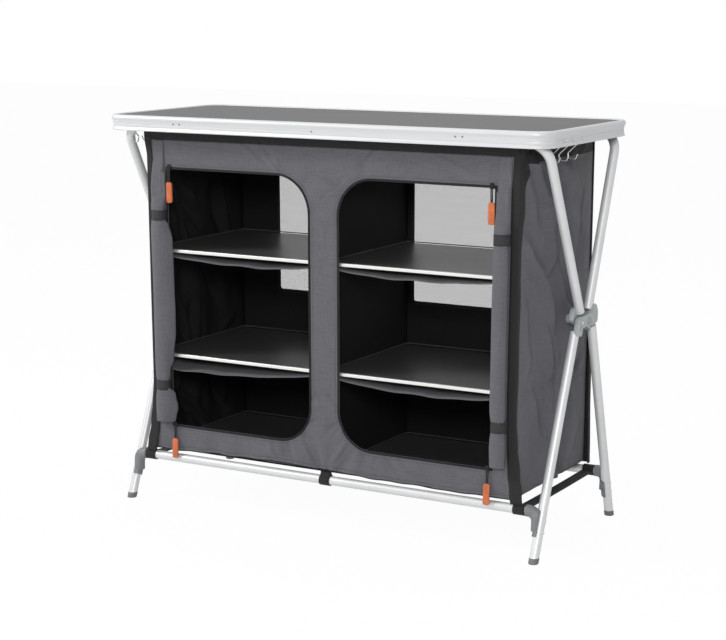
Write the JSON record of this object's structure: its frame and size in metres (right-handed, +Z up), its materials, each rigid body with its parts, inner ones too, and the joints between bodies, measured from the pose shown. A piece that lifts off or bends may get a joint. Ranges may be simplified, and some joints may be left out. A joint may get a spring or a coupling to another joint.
{
  "type": "folding camping cupboard",
  "caption": "Camp kitchen cupboard: an aluminium-rimmed worktop on crossed folding tube legs, with a grey cloth cabinet of shelves behind zipped, rolled-up doors.",
  "frame": {"origin": "on the floor, under the middle of the whole cupboard", "axes": "+X along the worktop to the right of someone facing the doors, +Y to the back, +Z up"},
  "size_m": [1.018, 0.425, 0.834],
  "materials": {
    "tube_paint": "light silver-grey powder coat, satin",
    "rim_metal": "brushed satin",
    "table_grey": "grey laminate, satin",
    "shelf_dark": "near-black laminate, soft sheen",
    "cloth_grey": "coated grey cloth, fine weave, matt",
    "cloth_black": "black cloth, matt",
    "webbing": "black woven webbing",
    "net_pale": "pale fine net",
    "plastic_grey": "mid-grey moulded plastic, satin",
    "plastic_dark": "dark grey plastic, matt",
    "wire": "bright wire",
    "orange": "orange moulded plastic, matt"
  },
  "bodies": {
    "hub_pins": {"hub_pin_left": "plastic_dark", "hub_pin_right": "plastic_dark"},
    "rear_frame": {"rear_upper_tube_frame": "tube_paint", "front_lower_tube_left": "tube_paint", "front_lower_tube_right": "tube_paint", "front_bottom_bar": "tube_paint", "elbow_front_left": "plastic_grey", "elbow_front_right": "plastic_grey", "foot_front_left": "plastic_dark", "foot_front_right": "plastic_dark", "hub_plate_rear_left": "plastic_grey", "hub_plate_rear_right": "plastic_grey", "centre_strap": "webbing"},
    "front_frame": {"front_upper_tube_frame": "tube_paint", "rear_lower_tube_left": "tube_paint", "rear_lower_tube_right": "tube_paint", "rear_bottom_bar": "tube_paint", "elbow_rear_left": "plastic_grey", "elbow_rear_right": "plastic_grey", "foot_rear_left": "plastic_dark", "foot_rear_right": "plastic_dark", "hub_plate_front_left": "plastic_grey", "hub_plate_front_right": "plastic_grey"},
    "table": {"tabletop_board": "table_grey", "tabletop_rim": "rim_metal", "clip_front_left": "plastic_dark", "clip_front_right": "plastic_dark", "clip_rear_left": "plastic_dark", "clip_rear_right": "plastic_dark"},
    "front_cloth": {"front_panel": "cloth_grey", "rolled_door_left": "cloth_grey", "rolled_door_right": "cloth_grey"},
    "back_cloth": {"back_panel": "cloth_grey", "window_net": "net_pale"},
    "inner_cloth": {"side_wall_left": "cloth_grey", "side_wall_right": "cloth_grey", "middle_divider": "cloth_black", "floor_cloth": "cloth_black", "shelf_sling_upper_left": "cloth_grey", "shelf_sling_upper_right": "cloth_grey", "shelf_sling_middle_left": "cloth_grey", "shelf_sling_middle_right": "cloth_grey"},
    "side_straps": {"side_strap_left": "webbing", "side_strap_right": "webbing"},
    "shelf_floor_left": {"shelf_board_floor_left": "shelf_dark"},
    "shelf_floor_right": {"shelf_board_floor_right": "shelf_dark"},
    "shelf_upper_left": {"shelf_board_upper_left": "shelf_dark"},
    "shelf_upper_right": {"shelf_board_upper_right": "shelf_dark"},
    "shelf_middle_left": {"shelf_board_middle_left": "shelf_dark"},
    "shelf_middle_right": {"shelf_board_middle_right": "shelf_dark"},
    "hook_left_1_body": {"hook_left_1": "wire"},
    "hook_left_2_body": {"hook_left_2": "wire"},
    "hook_left_3_body": {"hook_left_3": "wire"},
    "hook_right_1_body": {"hook_right_1": "wire"},
    "hook_right_2_body": {"hook_right_2": "wire"},
    "hook_right_3_body": {"hook_right_3": "wire"},
    "zip_pull_upper_left_body": {"zip_pull_upper_left": "orange"},
    "zip_pull_lower_left_body": {"zip_pull_lower_left": "orange"},
    "zip_pull_upper_right_body": {"zip_pull_upper_right": "orange"},
    "zip_pull_lower_right_body": {"zip_pull_lower_right": "orange"}
  },
  "joints": [
    {"name": "leg_fold", "type": "hinge", "parent": "hub_pins", "child": "rear_frame", "pos_m": [0, 0.02845, 0.4485], "axis": [1, 0, 0], "range_deg": [0, 18], "deforming": ["front_panel", "rolled_door_left", "rolled_door_right", "back_panel", "window_net", "side_wall_left", "side_wall_right", "middle_divider", "floor_cloth", "shelf_sling_upper_left", "shelf_sling_upper_right", "shelf_sling_middle_left", "shelf_sling_middle_right", "side_strap_left", "side_strap_right"]},
    {"name": "front_leg_fold", "type": "hinge", "parent": "hub_pins", "child": "front_frame", "pos_m": [0, 0.02845, 0.4485], "axis": [1, 0, 0], "range_deg": [-16, 0]},
    {"name": "table_lift", "type": "slide", "parent": "hub_pins", "child": "table", "axis": [0, 0, 1], "range_m": [0, 0.25]},
    {"name": "front_cloth_hang", "type": "hinge", "parent": "front_frame", "child": "front_cloth", "pos_m": [0, -0.16615, 0.8118], "axis": [1, 0, 0], "range_deg": [0, 16]},
    {"name": "back_cloth_hang", "type": "hinge", "parent": "rear_frame", "child": "back_cloth", "pos_m": [0, 0.17835, 0.8118], "axis": [1, 0, 0], "range_deg": [-18, 0]},
    {"name": "inner_cloth_rise", "type": "slide", "parent": "hub_pins", "child": "inner_cloth", "axis": [0, 0, 1], "range_m": [0, 0.032]},
    {"name": "strap_drop", "type": "slide", "parent": "hub_pins", "child": "side_straps", "axis": [0, 0, -1], "range_m": [0, 0.037]},
    {"name": "shelf_floor_left_tilt", "type": "hinge", "parent": "front_cloth", "child": "shelf_floor_left", "pos_m": [0, -0.16135, 0.1243], "axis": [1, 0, 0], "range_deg": [0, 70]},
    {"name": "shelf_floor_right_tilt", "type": "hinge", "parent": "front_cloth", "child": "shelf_floor_right", "pos_m": [0, -0.16135, 0.1243], "axis": [1, 0, 0], "range_deg": [0, 70]},
    {"name": "shelf_upper_left_slide", "type": "slide", "parent": "hub_pins", "child": "shelf_upper_left", "axis": [0, -1, 0], "range_m": [0, 0.42]},
    {"name": "shelf_upper_right_slide", "type": "slide", "parent": "hub_pins", "child": "shelf_upper_right", "axis": [0, -1, 0], "range_m": [0, 0.42]},
    {"name": "shelf_middle_left_slide", "type": "slide", "parent": "hub_pins", "child": "shelf_middle_left", "axis": [0, -1, 0], "range_m": [0, 0.42]},
    {"name": "shelf_middle_right_slide", "type": "slide", "parent": "hub_pins", "child": "shelf_middle_right", "axis": [0, -1, 0], "range_m": [0, 0.42]},
    {"name": "hook_left_1_swing", "type": "hinge", "parent": "table", "child": "hook_left_1_body", "pos_m": [-0.5033, -0.13248, 0.8125], "axis": [1, 0, 0], "range_deg": [-1, 20]},
    {"name": "hook_left_2_swing", "type": "hinge", "parent": "table", "child": "hook_left_2_body", "pos_m": [-0.5033, -0.09448, 0.8125], "axis": [1, 0, 0], "range_deg": [-20, 20]},
    {"name": "hook_left_3_swing", "type": "hinge", "parent": "table", "child": "hook_left_3_body", "pos_m": [-0.5033, -0.05148, 0.8125], "axis": [1, 0, 0], "range_deg": [-20, 35]},
    {"name": "hook_right_1_swing", "type": "hinge", "parent": "table", "child": "hook_right_1_body", "pos_m": [0.5033, -0.13248, 0.8125], "axis": [1, 0, 0], "range_deg": [-1, 20]},
    {"name": "hook_right_2_swing", "type": "hinge", "parent": "table", "child": "hook_right_2_body", "pos_m": [0.5033, -0.09448, 0.8125], "axis": [1, 0, 0], "range_deg": [-20, 20]},
    {"name": "hook_right_3_swing", "type": "hinge", "parent": "table", "child": "hook_right_3_body", "pos_m": [0.5033, -0.05148, 0.8125], "axis": [1, 0, 0], "range_deg": [-20, 35]},
    {"name": "zip_pull_upper_left_swing", "type": "hinge", "parent": "front_cloth", "child": "zip_pull_upper_left_body", "pos_m": [-0.3745, -0.1692, 0.725], "axis": [-1, 0, 0], "range_deg": [0, 115]},
    {"name": "zip_pull_lower_left_swing", "type": "hinge", "parent": "front_cloth", "child": "zip_pull_lower_left_body", "pos_m": [-0.3745, -0.1692, 0.173], "axis": [-1, 0, 0], "range_deg": [0, 115]},
    {"name": "zip_pull_upper_right_swing", "type": "hinge", "parent": "front_cloth", "child": "zip_pull_upper_right_body", "pos_m": [0.3745, -0.1692, 0.725], "axis": [-1, 0, 0], "range_deg": [0, 115]},
    {"name": "zip_pull_lower_right_swing", "type": "hinge", "parent": "front_cloth", "child": "zip_pull_lower_right_body", "pos_m": [0.3745, -0.1692, 0.173], "axis": [-1, 0, 0], "range_deg": [0, 115]}
  ],
  "couplings": [
    {"joint": "front_leg_fold", "follows": "leg_fold", "ratio": -0.8888},
    {"joint": "table_lift", "follows": "leg_fold", "m_per_rad": 0.7957},
    {"joint": "front_cloth_hang", "follows": "leg_fold", "ratio": 0.8888},
    {"joint": "back_cloth_hang", "follows": "leg_fold", "ratio": -1},
    {"joint": "inner_cloth_rise", "follows": "leg_fold", "m_per_rad": 0.1018},
    {"joint": "strap_drop", "follows": "leg_fold", "m_per_rad": 0.1177},
    {"joint": "shelf_floor_left_tilt", "follows": "leg_fold", "ratio": 3.8888},
    {"joint": "shelf_floor_right_tilt", "follows": "leg_fold", "ratio": 3.8888},
    {"joint": "shelf_upper_left_slide", "follows": "leg_fold", "m_per_rad": 1.3368},
    {"joint": "shelf_upper_right_slide", "follows": "leg_fold", "m_per_rad": 1.3368},
    {"joint": "shelf_middle_left_slide", "follows": "leg_fold", "m_per_rad": 1.3368},
    {"joint": "shelf_middle_right_slide", "follows": "leg_fold", "m_per_rad": 1.3368}
  ]
}
